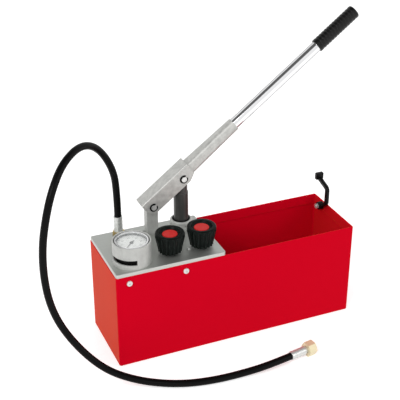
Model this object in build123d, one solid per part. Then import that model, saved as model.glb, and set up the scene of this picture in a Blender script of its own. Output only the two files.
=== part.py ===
from build123d import *
import math
import os

# Hand-operated hydrostatic test pump with its water tank, gauge, two valves and hose.
# Lengths in millimetres. The origin is the centre of the tank's underside.
# +X runs along the tank to its open end, +Y to the back and +Z up.

# Clearances and cuts
thread_gap = 0.05
run_gap = 0.06
slip_gap = 0.3
overrun = 2.0

# Tank
tank_length = 520.0
tank_width = 165.0
tank_height = 205.0
sheet_thickness = 1.5
hem_thickness = 3.0
hem_height = 22.0
tank_corner_radius = 4.0
tank_floor_radius = 3.0
rim_radius = 1.2

# Cover plate over the closed end of the tank
plate_length = 228.0
plate_thickness = 8.0
plate_inset = 1.0
plate_edge_radius = 1.2
rib_thickness = 6.0
rib_height = 28.0
rib_end_inset = 8.0
side_screw_places = (26.7, 143.4)
side_screw_drop = 14.7
side_screw_radius = 2.95
side_screw_head_radius = 6.0
side_screw_head_height = 3.2
side_screw_length = 9.0
side_screw_socket_radius = 1.9
side_screw_socket_depth = 1.6

# Valve block under the plate
block_left_inset = 21.0
block_right_inset = 11.0
block_front_inset = 13.5
block_back_inset = 9.5
block_height = 40.0
block_corner_radius = 4.0
front_bar_share = 0.386
rear_bar_share = 0.357
left_bar_width = 60.0
right_bar_width = 70.0
gallery_radius = 2.6
gallery_height = 15.0
passage_height = 5.4
gallery_plug_radius = 4.5
gallery_plug_length = 7.0
gallery_plug_socket_radius = 2.2
gallery_plug_socket_depth = 3.0
front_screw_from_left = 165.7
block_screw_radius = 2.4
block_screw_head_radius = 4.4
block_screw_head_height = 2.6
block_screw_length = 22.0
block_screw_slot_width = 1.0
block_screw_slot_depth = 1.0

# Linkage: the plunger's axis, the link's foot and the lever's two pins
lever_plane_from_back = 32.5
plunger_from_plate_end = 42.0
foot_depth = 12.0
link_length = 84.7
pin_spacing = 82.4
lever_angle = 37.5
link_width = 24.4
link_depth = 18.0
link_boss_radius = 12.2
link_corner_radius = 1.5
foot_pin_radius = 6.0
foot_pin_length = 42.0
link_slot_back = 17.5
link_slot_front = 13.8
link_slot_side = 1.2
pin_radius = 5.5

# Plunger, its gland and the pump barrel
plunger_radius = 15.0
plunger_length = 162.9
plunger_head_radius = 13.5
plunger_head_length = 34.0
head_slot_back = 3.6
head_slot_front = 4.3
head_slot_down = 2.2
head_slot_up = 1.8
head_slot_gap = 0.4
seat_bore_radius = 19.0
barrel_radius = 23.0
barrel_bore_radius = 16.3
barrel_length = 76.0
barrel_floor = 12.0
barrel_spigot = 16.0
guide_length = 8.0
seal_length = 7.0
seal_groove_depth = 2.3
gland_collar_radius = 23.0
gland_collar_height = 18.0
gland_edge = 2.0
gland_spanner_count = 4
gland_spanner_radius = 2.2
gland_spanner_depth = 3.0
wiper_radius = 18.5
wiper_height = 4.0
wiper_lip = 0.8

# Suction valve and strainer
suction_thread_radius = 9.0
suction_hex_flats = 24.0
suction_hex_height = 16.0
suction_tail_radius = 7.0
suction_tail_length = 14.0
suction_port_radius = 3.4
suction_seat_height = 5.0
suction_chamber_radius = 6.4
suction_ball_radius = 5.0
suction_stop_height = 3.0
suction_stop_bore_radius = 2.6
strainer_radius = 12.0
strainer_wall = 1.0
strainer_floor_gap = 10.0
strainer_lid = 2.0
strainer_foot = 3.0
strainer_slot_count = 10
strainer_slot_width = 2.4
strainer_slot_share = 0.6
spring_wire_radius = 0.5
suction_spring_radius = 4.2
suction_spring_length = 8.0
spring_turns = 5

# Delivery valve in the right bar of the block
delivery_distance = 38.0
delivery_seat_height = 28.0
delivery_port_radius = 3.0
delivery_ball_radius = 4.5
delivery_spring_radius = 3.6
delivery_spring_length = 8.0
delivery_plug_radius = 7.0
delivery_plug_flats = 17.0
delivery_plug_head = 6.0

# Return pipe
return_pipe_radius = 4.0
return_pipe_wall = 1.0
return_pipe_length = 60.0
return_pipe_socket = 8.0

# Pressure gauge standing in its cast guard
gauge_from_left = 48.0
gauge_from_front = 42.5
guard_radius = 38.2
guard_bore_radius = 35.2
guard_height = 47.0
guard_floor = 3.0
guard_rim_radius = 1.2
window_low = 9.8
window_high = 20.8
window_start = 3.0
window_end = 114.0
stem_radius = 6.0
stem_depth = 20.0
stem_hex_flats = 17.0
stem_hex_height = 3.0
stem_block_side = 12.0
stem_block_height = 8.0
case_radius = 31.5
case_wall = 1.2
case_height = 36.0
bezel_radius = 33.0
bezel_window_radius = 30.4
bezel_skirt = 9.0
bezel_lip = 1.4
bezel_edge_radius = 0.45
lens_thickness = 2.4
dial_radius = 30.0
dial_thickness = 0.8
dial_drop = 3.2
movement_plate_radius = 20.5
movement_plate_thickness = 1.5
movement_low = 8.4
movement_gap = 12.0
pillar_radius = 1.8
pillar_circle_radius = 18.6
pillar_angles = (50.0, 170.0, 290.0)
arbor_radius = 1.2
pinion_radius = 2.25
sector_radius = 15.75
sector_thickness = 2.0
sector_rise = 4.0
sector_hub_radius = 3.2
sector_low_angle = -7.0
sector_high_angle = 61.0
tube_ring_radius = 25.6
tube_ring_thickness = 3.0
tube_ring_height = 8.0
tube_ring_start = -82.0
tube_ring_end = 150.0
pointer_length = 24.0
pointer_tail = 9.0
pointer_width = 2.6
pointer_thickness = 0.8
pointer_hub_radius = 3.6
pointer_zero_angle = -135.0

# Release valve and shut-off valve, with their handwheels
valve_places = (126.0, 193.0)
valve_from_front = 39.5
valve_gland_radius = 10.0
valve_gland_depth = 14.0
valve_gland_flats = 20.6
valve_gland_head = 5.0
spindle_radius = 5.0
spindle_nose_radius = 3.0
spindle_nose_length = 6.0
valve_chamber_radius = 6.0
valve_seat_height = 10.5
valve_port_radius = 2.4
valve_ball_radius = 3.5
o_ring_radius = 1.2
o_ring_drop = 8.0
wheel_base_gap = 1.6
wheel_height = 41.0
wheel_base_radius = 23.5
wheel_rim_radius = 29.5
wheel_rim_drop = 9.0
wheel_top_radius = 26.0
wheel_skirt = 3.0
wheel_dish_depth = 4.6
wheel_dish_flare = 3.6
flute_count = 18
flute_radius = 3.2
flute_depth = 1.9
cap_radius = 15.2
cap_recess = 3.4
cap_rise = 1.4
cap_ring_radius = 18.6
cap_ring_depth = 0.8

# Lever: bracket, socket, tube and grip
bracket_wall = 3.6
bracket_gap = 27.8
bracket_web = 3.8
bracket_above = 21.2
bracket_below = 14.3
bracket_behind = 16.0
bracket_beyond = 25.0
bracket_end_wall = 4.0
bracket_nose_drop = 5.0
bracket_round_radius = 10.0
bracket_edge_radius = 1.4
tube_rise = 3.8
socket_height = 25.0
socket_depth = 29.0
socket_corner_radius = 6.0
socket_end_radius = 13.5
socket_reach = 231.4
socket_bore_depth = 92.0
tube_radius = 11.0
tube_wall = 1.6
grip_start = 458.7
grip_end = 563.0
grip_radius = 14.0
grip_cover = 5.0
grip_collar_width = 6.0
grip_rib_count = 13
grip_groove_depth = 0.7
grip_groove_share = 0.25
grip_edge_radius = 4.0
grip_mouth_radius = 1.0
ring_radius = 8.7
ring_thickness = 1.2
ring_mouth = 5.6
ring_groove_depth = 0.6
pin_end = 1.6

# Hook that latches the folded lever
hook_pivot_from_back = 38.5
hook_pivot_drop = 10.0
hook_bar_width = 8.4
hook_bar_thickness = 8.0
hook_bar_edge_radius = 1.75
hook_hub_radius = 8.6
hook_hub_length = 10.5
hook_bolt_radius = 3.0
hook_bolt_head_radius = 7.5
hook_bolt_head_height = 4.0
hook_bolt_crown_radius = 2.65
hook_bolt_tail = 1.6
hook_nut_flats = 10.0
hook_nut_length = 5.0
hook_bulge = 26.0
hook_knee_height = 17.0
hook_shoulder_height = 53.0
hook_knee_radius = 10.0
hook_shoulder_radius = 8.0
hook_arm_reach = 14.0
hook_arm_height = 64.0
hook_tab_width = 17.5
hook_tab_thickness = 6.0
hook_tab_height = 11.0
hook_tab_radius = 1.8

# Hose, its fittings and the union nut on its far end
hose_radius = 7.25
nipple_from_left = 54.0
nipple_from_back = 24.5
nipple_thread_radius = 9.0
nipple_thread_length = 20.0
nipple_hex_flats = 22.0
nipple_hex_height = 13.0
nipple_stem_radius = 4.0
nipple_stem_length = 26.0
nipple_port_radius = 2.4
ferrule_radius = 9.0
ferrule_length = 34.0
ferrule_band_count = 3
ferrule_band_share = 0.5
ferrule_band_depth = 0.5
ferrule_mouth = 4.0
nut_flats = 27.0
nut_length = 18.0
nut_thread_radius = 9.35
nut_thread_length = 9.0
nut_relief_radius = 10.3
nut_relief_length = 5.2
nut_back_radius = 7.3
nut_start = 39.0
nut_edge = 1.2
tail_radius = 7.0
tail_flange_radius = 9.7
tail_flange_length = 2.6
tail_port_radius = 3.0
gasket_thickness = 2.0
# The hose's route: points from the near ferrule's top, then from the tank's front left foot
hose_loop = (
    (0.0, 0.0, 0.0),
    (0.0, 0.0, 50.0),
    (-6.0, -5.0, 106.0),
    (-36.0, -13.0, 163.0),
    (-79.0, -45.0, 191.0),
    (-126.0, -85.0, 180.0),
    (-157.0, -115.0, 145.0),
    (-175.0, -127.0, 99.0),
    (-187.0, -130.0, 41.0),
    (-189.0, -131.0, -25.0),
)
hose_run = (
    (-127.0, 9.5, 172.0),
    (-108.0, 4.5, 117.0),
    (-75.0, -14.5, 65.0),
    (-37.0, -38.5, 29.0),
    (9.0, -64.5, 12.0),
    (56.0, -90.5, 7.4),
    (103.0, -110.5, 7.4),
    (157.0, -120.5, 7.4),
    (214.0, -122.5, 7.4),
    (269.0, -126.5, 13.6),
    (320.0, -117.5, 13.6),
)
hose_bend_share = 0.45
hex_sides = 6

# Places worked out from the sizes above
tank_left = -tank_length / 2
tank_right = tank_length / 2
tank_front = -tank_width / 2
tank_back = tank_width / 2
plate_left = tank_left + plate_inset
plate_right = plate_left + plate_length
plate_top = tank_height + plate_thickness
block_top = tank_height
block_bottom = block_top - block_height
block_left = tank_left + block_left_inset
block_right = plate_right - block_right_inset
block_front = tank_front + block_front_inset + plate_inset
block_back = tank_back - block_back_inset - plate_inset
block_depth = block_back - block_front
window_front = block_front + front_bar_share * block_depth
window_back = block_back - rear_bar_share * block_depth
window_left = block_left + left_bar_width
window_right = block_right - right_bar_width
lever_y = tank_back - lever_plane_from_back
plunger_x = plate_right - plunger_from_plate_end
pin_reach = pin_spacing * math.cos(math.radians(lever_angle))
link_x = plunger_x - pin_reach
foot_height = block_top - foot_depth
link_pin_height = foot_height + link_length
rod_pin_height = link_pin_height + pin_spacing * math.sin(math.radians(lever_angle))
plunger_bottom = rod_pin_height - plunger_length
bracket_depth = bracket_gap + 2 * bracket_wall
gauge_x = tank_left + gauge_from_left
gauge_y = tank_front + gauge_from_front
nipple_x = tank_left + nipple_from_left
nipple_y = tank_back - nipple_from_back
valve_y = tank_front + valve_from_front
gallery_z = block_bottom + gallery_height
passage_z = block_bottom + passage_height
case_bottom = plate_top + guard_floor + stem_hex_height
case_top = case_bottom + case_height
dial_top = case_top - dial_drop
movement_z = case_bottom + movement_low
delivery_seat_z = block_bottom + delivery_seat_height
valve_seat_z = block_bottom + valve_seat_height
barrel_bottom = block_bottom - barrel_length
suction_seat_z = barrel_bottom - suction_hex_height + suction_seat_height
strainer_low = sheet_thickness + strainer_floor_gap
hook_x = tank_right - hem_thickness - slip_gap - hook_hub_length / 2
hook_y = tank_back - hook_pivot_from_back
hook_z = tank_height - hook_pivot_drop
hose_start = (nipple_x, nipple_y, plate_top + nipple_hex_height + ferrule_length)
tank_foot = (tank_left, tank_front, 0)
hose_route = [tuple(Vector(*hose_start) + Vector(*step)) for step in hose_loop]
hose_route += [tuple(Vector(*tank_foot) + Vector(*step)) for step in hose_run]


def block(x_span, y_span, z_span):
    """A box between the low and high value of each axis."""
    spans = (x_span, y_span, z_span)
    size = [high - low for low, high in spans]
    middle = [(high + low) / 2 for low, high in spans]
    return Pos(*middle) * Box(*size)


def post(x, y, low, high, radius):
    """An upright cylinder between two heights."""
    return Pos(x, y, (low + high) / 2) * Cylinder(radius, high - low)


def bar_x(low, high, y, z, radius):
    """A cylinder along X between two places."""
    return Pos((low + high) / 2, y, z) * Rot(0, 90, 0) * Cylinder(radius, high - low)


def bar_y(x, low, high, z, radius):
    """A cylinder along Y between two places."""
    return Pos(x, (low + high) / 2, z) * Rot(90, 0, 0) * Cylinder(radius, high - low)


def ring(x, y, low, high, outer, inner):
    """An upright ring with a plain bore."""
    bore = post(x, y, low - overrun, high + overrun, inner)
    return post(x, y, low, high, outer) - bore


def hexagon(x, y, low, high, flats):
    """An upright hexagonal prism of a given size across its flats."""
    sketch = RegularPolygon(flats / 2, hex_sides, major_radius=False)
    return Pos(x, y, low) * extrude(sketch, high - low)


def turned(points):
    """A solid turned about the Z axis from its outline of radius and height."""
    outline = [(radius, 0, height) for radius, height in points]
    return revolve(make_face(Polyline(*outline, close=True)), Axis.Z)


def swivel(shape, angle):
    """A shape turned about the Z axis."""
    return Rot(0, 0, angle) * shape


def tank():
    """Sheet steel tank, open at the top, with a folded hem round its rim."""
    shell = block((tank_left, tank_right), (tank_front, tank_back), (0, tank_height))
    shell = fillet(shell.edges().filter_by(Axis.Z), tank_corner_radius)
    shell = fillet(shell.faces().sort_by(Axis.Z)[0].edges(), tank_floor_radius)
    inner = block(
        (tank_left + sheet_thickness, tank_right - sheet_thickness),
        (tank_front + sheet_thickness, tank_back - sheet_thickness),
        (sheet_thickness, tank_height - hem_height),
    )
    inner = fillet(inner.edges().filter_by(Axis.Z), tank_corner_radius - sheet_thickness)
    mouth = block(
        (tank_left + hem_thickness, tank_right - hem_thickness),
        (tank_front + hem_thickness, tank_back - hem_thickness),
        (tank_height - hem_height - overrun, tank_height + overrun),
    )
    mouth = fillet(mouth.edges().filter_by(Axis.Z), tank_corner_radius - sheet_thickness)
    shell = shell - inner - mouth
    shell = fillet(shell.faces().sort_by(Axis.Z)[-1].edges(), rim_radius)
    for place in side_screw_places:
        x = tank_left + place
        z = tank_height - side_screw_drop
        hole = bar_y(x, tank_front - overrun, tank_back + overrun, z, side_screw_radius + slip_gap)
        shell = shell - hole
    bolt_hole = bar_x(tank_right - 2 * hem_thickness, tank_right + overrun, hook_y, hook_z,
                      hook_bolt_radius + thread_gap)
    return shell - bolt_hole


def block_screw_places():
    """Places of the screws that hold the block under the plate."""
    edge = 2 * block_screw_head_radius
    bridge_y = (window_front + window_back) / 2
    return ((tank_left + front_screw_from_left, valve_y), (window_left - edge, window_back),
            (window_right + edge, bridge_y), (block_right - edge, bridge_y))


def cover_plate():
    """Machined plate on the rim, with a rib down each side for the side screws."""
    span_y = (tank_front + plate_inset, tank_back - plate_inset)
    plate = block((plate_left, plate_right), span_y, (tank_height, plate_top))
    plate = fillet(plate.edges().filter_by(Axis.Z), tank_corner_radius)
    plate = fillet(plate.faces().sort_by(Axis.Z)[-1].edges(), plate_edge_radius)
    rib_outer = tank_back - hem_thickness - slip_gap
    rib_span = (plate_left + rib_end_inset, plate_right - rib_end_inset)
    for side in (-1, 1):
        low, high = sorted((side * rib_outer, side * (rib_outer - rib_thickness)))
        plate = plate + block(rib_span, (low, high), (tank_height - rib_height, tank_height))
    for place in side_screw_places:
        z = tank_height - side_screw_drop
        plate = plate - bar_y(tank_left + place, tank_front, tank_back, z,
                              side_screw_radius + thread_gap)
    holes = [(plunger_x, lever_y, seat_bore_radius + slip_gap),
             (gauge_x, gauge_y, stem_radius + slip_gap),
             (nipple_x, nipple_y, nipple_thread_radius + slip_gap)]
    holes += [(tank_left + place, valve_y, valve_gland_radius + slip_gap) for place in valve_places]
    holes += [(x, y, block_screw_radius + slip_gap) for x, y in block_screw_places()]
    for x, y, radius in holes:
        plate = plate - post(x, y, tank_height - overrun, plate_top + overrun, radius)
    half_depth = link_depth / 2 + link_slot_side
    return plate - block((link_x - link_slot_back, link_x + link_slot_front),
                         (lever_y - half_depth, lever_y + half_depth),
                         (tank_height - overrun, plate_top + overrun))


def valve_block():
    """Aluminium block that joins pump, valves, gauge and outlet with drilled galleries."""
    body = block((block_left, block_right), (block_front, block_back), (block_bottom, block_top))
    body = fillet(body.edges().filter_by(Axis.Z), block_corner_radius)
    window = block((window_left, window_right), (window_front, window_back),
                   (block_bottom - overrun, block_top + overrun))
    body = body - fillet(window.edges().filter_by(Axis.Z), block_corner_radius)
    body = body - post(plunger_x, lever_y, block_bottom - overrun, block_top + overrun,
                       seat_bore_radius)
    body = body - post(gauge_x, gauge_y, block_top - stem_depth, block_top + overrun,
                       stem_radius + thread_gap)
    body = body - post(gauge_x, gauge_y, gallery_z, block_top - stem_depth + overrun,
                       valve_port_radius)
    body = body - post(nipple_x, nipple_y, block_top - nipple_thread_length,
                       block_top + overrun, nipple_thread_radius + thread_gap)
    body = body - post(nipple_x, nipple_y, gallery_z, block_top - nipple_thread_length + overrun,
                       nipple_port_radius)
    for place, port_low in zip(valve_places, (block_bottom - overrun, passage_z)):
        x = tank_left + place
        body = body - post(x, valve_y, port_low, valve_seat_z + overrun, valve_port_radius)
        body = body - post(x, valve_y, valve_seat_z, block_top, valve_chamber_radius)
        body = body - post(x, valve_y, block_top - valve_gland_depth - slip_gap,
                           block_top + overrun, valve_gland_radius + thread_gap)
    for x, y in block_screw_places():
        body = body - post(x, y, block_top - block_screw_length, block_top + overrun,
                           block_screw_radius + thread_gap)
    half_depth = link_depth / 2 + link_slot_side
    pocket_low = foot_height - link_boss_radius - link_slot_side
    body = body - block((link_x - link_slot_back, link_x + link_slot_front),
                        (lever_y - half_depth, lever_y + half_depth),
                        (pocket_low, block_top + overrun))
    body = body - bar_y(link_x, lever_y - foot_pin_length / 2, block_back + overrun,
                        foot_height, foot_pin_radius + thread_gap)
    body = body - block_galleries() - delivery_bore()
    return body - post(tank_left + valve_places[0], valve_y, block_bottom - overrun,
                       block_bottom + return_pipe_socket, return_pipe_radius + thread_gap)


def front_drillings():
    """Place along X, height and far end of the galleries drilled from the front face."""
    outlet_x = (gauge_x + nipple_x) / 2
    delivery_y = delivery_place()[1]
    return ((outlet_x, gallery_z, nipple_y),
            (tank_left + valve_places[1], passage_z, delivery_y))


def block_galleries():
    """Cross drillings of the block, each with a wider mouth for its plug."""
    cuts = bar_x(block_left - overrun, tank_left + valve_places[1], valve_y, gallery_z,
                 gallery_radius)
    cuts = cuts + bar_x(block_left - overrun, block_left + gallery_plug_length, valve_y,
                        gallery_z, gallery_plug_radius + thread_gap)
    for x, z, far_y in front_drillings():
        cuts = cuts + bar_y(x, block_front - overrun, far_y, z, gallery_radius)
        cuts = cuts + bar_y(x, block_front - overrun, block_front + gallery_plug_length, z,
                            gallery_plug_radius + thread_gap)
    return cuts


def gallery_plugs():
    """Socket plugs that close the drilled mouths."""
    plug = bar_x(block_left, block_left + gallery_plug_length, valve_y, gallery_z,
                 gallery_plug_radius)
    plugs = [plug - bar_x(block_left - overrun, block_left + gallery_plug_socket_depth, valve_y,
                          gallery_z, gallery_plug_socket_radius)]
    for x, z, far_y in front_drillings():
        plug = bar_y(x, block_front, block_front + gallery_plug_length, z, gallery_plug_radius)
        plugs.append(plug - bar_y(x, block_front - overrun,
                                  block_front + gallery_plug_socket_depth, z,
                                  gallery_plug_socket_radius))
    return Compound(children=plugs)


def delivery_place():
    """Where the delivery valve stands in the right bar of the block."""
    return plunger_x, lever_y - delivery_distance


def delivery_bore():
    """Stepped bore of the delivery valve and the passage from the barrel's seat bore."""
    x, y = delivery_place()
    chamber = post(x, y, block_bottom - overrun, delivery_seat_z, delivery_plug_radius + thread_gap)
    port = post(x, y, delivery_seat_z - overrun, delivery_seat_z + 2 * delivery_port_radius,
                delivery_port_radius)
    feed_z = delivery_seat_z + delivery_port_radius
    feed = bar_y(x, y, lever_y - barrel_bore_radius, feed_z, gallery_radius)
    return chamber + port + feed


def delivery_plug():
    """Hexagon plug that closes the delivery bore and carries the spring."""
    x, y = delivery_place()
    top = delivery_spring_seat()
    plug = post(x, y, block_bottom, top, delivery_plug_radius)
    return plug + hexagon(x, y, block_bottom - delivery_plug_head, block_bottom,
                          delivery_plug_flats)


def seated_height(ball_radius, port_radius):
    """Height of a ball's centre above the edge that it closes."""
    return math.sqrt(ball_radius ** 2 - port_radius ** 2)


def delivery_ball_z():
    """Height of the delivery ball, pressed up against its seat."""
    lift = seated_height(delivery_ball_radius, delivery_port_radius)
    return delivery_seat_z - lift - thread_gap


def delivery_spring_seat():
    """Height of the face that carries the delivery spring."""
    return delivery_ball_z() - delivery_ball_radius - delivery_spring_length - 2 * slip_gap


def coil_spring(x, y, low, length, radius):
    """Compression spring wound from round wire."""
    pitch = (length - 2 * spring_wire_radius) / spring_turns
    line = Helix(pitch, length - 2 * spring_wire_radius, radius)
    section = Plane(origin=line @ 0, z_dir=line % 0) * Circle(spring_wire_radius)
    wire = sweep(section, path=line)
    return Pos(x, y, low + spring_wire_radius) * wire


def pump_barrel():
    """Barrel below the block, with a spigot in the block's seat bore."""
    x, y = plunger_x, lever_y
    body = post(x, y, barrel_bottom, block_bottom, barrel_radius)
    body = chamfer(body.edges().filter_by(GeomType.CIRCLE), gland_edge / 2)
    body = body + post(x, y, block_bottom - gland_edge, block_bottom + barrel_spigot,
                       seat_bore_radius - thread_gap)
    body = body - post(x, y, barrel_bottom + barrel_floor, block_bottom + barrel_spigot + overrun,
                       barrel_bore_radius)
    return body - post(x, y, barrel_bottom - overrun, barrel_bottom + barrel_floor + overrun,
                       suction_thread_radius + thread_gap)


def guide_bush():
    """Bronze bush that guides the plunger above the barrel."""
    low = block_bottom + barrel_spigot
    return ring(plunger_x, lever_y, low, low + guide_length, seat_bore_radius - thread_gap,
                plunger_radius + run_gap)


def rod_seal():
    """Packing ring between the bush and the gland nut."""
    low = block_bottom + barrel_spigot + guide_length
    body = ring(plunger_x, lever_y, low, low + seal_length, seat_bore_radius - thread_gap,
                plunger_radius + run_gap)
    middle = (seat_bore_radius + plunger_radius) / 2
    groove = ring(plunger_x, lever_y, low - overrun, low + seal_groove_depth,
                  middle + wiper_lip, middle - wiper_lip)
    return body - groove


def gland_nut():
    """Round gland nut: its collar shows above the plate and holds the wiper."""
    x, y = plunger_x, lever_y
    low = block_bottom + barrel_spigot + guide_length + seal_length
    collar = post(x, y, plate_top, plate_top + gland_collar_height, gland_collar_radius)
    collar = chamfer(collar.edges().filter_by(GeomType.CIRCLE).sort_by(Axis.Z)[-1], gland_edge)
    nut = collar + post(x, y, low, plate_top + gland_edge, seat_bore_radius - thread_gap)
    top = plate_top + gland_collar_height
    nut = nut - post(x, y, low - overrun, top + overrun, plunger_radius + slip_gap)
    nut = nut - post(x, y, top - wiper_height, top + overrun, wiper_radius)
    hole = bar_x(gland_collar_radius - gland_spanner_depth, gland_collar_radius + overrun, 0,
                 plate_top + gland_collar_height / 2, gland_spanner_radius)
    for step in range(gland_spanner_count):
        nut = nut - Pos(x, y, 0) * swivel(hole, step * 360 / gland_spanner_count)
    return nut


def wiper_ring():
    """Rubber wiper in the mouth of the gland nut."""
    top = plate_top + gland_collar_height
    return ring(plunger_x, lever_y, top - wiper_height, top + wiper_lip,
                wiper_radius - thread_gap, plunger_radius + run_gap)


def plunger():
    """Ground steel plunger, with a slot across its narrower head for the lever's pin."""
    x, y = plunger_x, lever_y
    neck_z = rod_pin_height - plunger_head_length
    body = post(x, y, plunger_bottom, neck_z, plunger_radius)
    body = chamfer(body.edges().filter_by(GeomType.CIRCLE), gland_edge / 2)
    head = plunger_head_radius
    dome = bar_y(x, y - head, y + head, rod_pin_height, head)
    upright = post(x, y, rod_pin_height - head, rod_pin_height + head, head)
    body = body + post(x, y, neck_z - gland_edge, rod_pin_height, head) + (dome & upright)
    reach = pin_radius + head_slot_gap
    slot = block((x - head_slot_back - reach, x + head_slot_front + reach),
                 (y - 2 * plunger_radius, y + 2 * plunger_radius),
                 (rod_pin_height - head_slot_down - reach, rod_pin_height + head_slot_up + reach))
    slot = fillet(slot.edges().filter_by(Axis.Y), pin_radius)
    return body - slot


def suction_valve():
    """Valve body screwed into the barrel's floor, with its seat and ball chamber."""
    x, y = plunger_x, lever_y
    hex_low = barrel_bottom - suction_hex_height
    body = hexagon(x, y, hex_low, barrel_bottom, suction_hex_flats)
    body = body + post(x, y, barrel_bottom - overrun, barrel_bottom + barrel_floor,
                       suction_thread_radius)
    body = body + post(x, y, hex_low - suction_tail_length, hex_low + overrun,
                       suction_tail_radius)
    body = body - post(x, y, hex_low - suction_tail_length - overrun, suction_seat_z + overrun,
                       suction_port_radius)
    return body - post(x, y, suction_seat_z, barrel_bottom + barrel_floor + overrun,
                       suction_chamber_radius)


def suction_ball_z():
    """Height of the suction ball on its seat."""
    lift = seated_height(suction_ball_radius, suction_port_radius)
    return suction_seat_z + lift + thread_gap


def suction_spring_z():
    """Height of the suction spring's lower end."""
    return suction_ball_z() + suction_ball_radius + slip_gap


def suction_stop():
    """Holed stop that keeps the suction spring in its chamber."""
    low = suction_spring_z() + suction_spring_length + slip_gap
    return ring(plunger_x, lever_y, low, low + suction_stop_height,
                suction_chamber_radius - thread_gap, suction_stop_bore_radius)


def ball(x, y, z, radius):
    """A steel ball."""
    return Pos(x, y, z) * Sphere(radius)


def suction_strainer():
    """Slotted strainer cup round the tail of the suction valve."""
    x, y = plunger_x, lever_y
    top = barrel_bottom - suction_hex_height - slip_gap
    low = strainer_low
    cup = post(x, y, low, top, strainer_radius)
    cup = cup - post(x, y, low + strainer_wall, top - strainer_lid,
                     strainer_radius - strainer_wall)
    cup = cup - post(x, y, top - strainer_lid - overrun, top + overrun,
                     suction_tail_radius + thread_gap)
    slot_high = low + (top - low) * strainer_slot_share
    slot = block((strainer_radius - strainer_wall - overrun, strainer_radius + overrun),
                 (-strainer_slot_width / 2, strainer_slot_width / 2),
                 (low + strainer_foot, slot_high))
    for step in range(strainer_slot_count):
        cup = cup - Pos(x, y, 0) * swivel(slot, step * 360 / strainer_slot_count)
    return cup


def return_pipe():
    """Short copper pipe that takes released water back into the tank."""
    x = tank_left + valve_places[0]
    top = block_bottom + return_pipe_socket
    return ring(x, valve_y, top - return_pipe_length, top, return_pipe_radius,
                return_pipe_radius - return_pipe_wall)


def side_screws():
    """Pan-head screws through both long walls into the plate's ribs."""
    screws = []
    z = tank_height - side_screw_drop
    for place in side_screw_places:
        x = tank_left + place
        for side in (-1, 1):
            wall = side * tank_back
            head = bar_y(x, *sorted((wall, wall + side * side_screw_head_height)), z,
                         side_screw_head_radius)
            crown = head.edges().filter_by(GeomType.CIRCLE).sort_by(Axis.Y)[-1 if side > 0 else 0]
            head = fillet(crown, side_screw_head_height / 2)
            socket_span = sorted((wall + side * (side_screw_head_height + overrun),
                                  wall + side * (side_screw_head_height - side_screw_socket_depth)))
            head = head - bar_y(x, *socket_span, z, side_screw_socket_radius)
            shank_span = sorted((wall + side * side_screw_socket_depth / 2,
                                 wall - side * side_screw_length))
            screws.append(head + bar_y(x, *shank_span, z, side_screw_radius))
    return Compound(children=screws)


def block_screws():
    """Slotted screws through the plate into the block."""
    screws = []
    for x, y in block_screw_places():
        top = plate_top + block_screw_head_height
        head = post(x, y, plate_top, top, block_screw_head_radius)
        head = fillet(head.edges().filter_by(GeomType.CIRCLE).sort_by(Axis.Z)[-1],
                      block_screw_head_height / 2)
        head = head - block((x - block_screw_head_radius, x + block_screw_head_radius),
                            (y - block_screw_slot_width / 2, y + block_screw_slot_width / 2),
                            (top - block_screw_slot_depth, top + overrun))
        shank = post(x, y, block_top - block_screw_length + slip_gap,
                     plate_top + block_screw_slot_depth, block_screw_radius)
        screws.append(head + shank)
    return Compound(children=screws)


def gauge_guard():
    """Cast cup round the gauge, with a sighting slot low in its wall."""
    body = turned(((0, 0), (guard_radius, 0), (guard_radius, guard_height),
                   (guard_bore_radius, guard_height), (guard_bore_radius, guard_floor),
                   (0, guard_floor)))
    body = fillet(body.edges().filter_by(GeomType.CIRCLE).sort_by(Axis.Z)[-2:], guard_rim_radius)
    body = body - post(0, 0, -overrun, guard_floor + overrun, stem_radius + slip_gap)
    sweep_angle = window_end - window_start
    sector = extrude(make_sector(guard_radius + overrun, sweep_angle), window_high - window_low)
    sector = sector - post(0, 0, -overrun, window_high, guard_bore_radius - overrun / 2)
    turn = -90 - window_end
    body = body - Pos(0, 0, window_low) * swivel(sector, turn)
    return Pos(gauge_x, gauge_y, plate_top) * body


def make_sector(radius, angle):
    """A flat sector of a disc that starts on the X axis."""
    end = (radius * math.cos(math.radians(angle)), radius * math.sin(math.radians(angle)))
    half = (radius * math.cos(math.radians(angle / 2)), radius * math.sin(math.radians(angle / 2)))
    return make_face([Line((0, 0), (radius, 0)), ThreePointArc((radius, 0), half, end),
                      Line(end, (0, 0))])


def gauge_stem():
    """Brass stem that screws into the block and clamps the guard to the plate."""
    x, y = gauge_x, gauge_y
    floor_top = plate_top + guard_floor
    stem = post(x, y, block_top - stem_depth + slip_gap, floor_top + overrun, stem_radius)
    stem = stem + hexagon(x, y, floor_top, case_bottom, stem_hex_flats)
    half = stem_block_side / 2
    stem = stem + post(x, y, case_bottom - overrun, case_bottom + case_wall + overrun, half)
    head_low = case_bottom + case_wall
    stem = stem + block((x - half, x + half), (y - half, y + half),
                        (head_low, case_bottom + stem_block_height))
    return stem - post(x, y, block_top - stem_depth - overrun, case_bottom + stem_block_height / 2,
                       valve_port_radius)


def gauge_case():
    """Pressed steel cup of the gauge."""
    wall_inner = case_radius - case_wall
    cup = turned(((0, 0), (case_radius, 0), (case_radius, case_height), (wall_inner, case_height),
                  (wall_inner, case_wall), (0, case_wall)))
    cup = cup - post(0, 0, -overrun, case_wall + overrun, stem_block_side / 2 + thread_gap)
    return Pos(gauge_x, gauge_y, case_bottom) * cup


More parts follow.
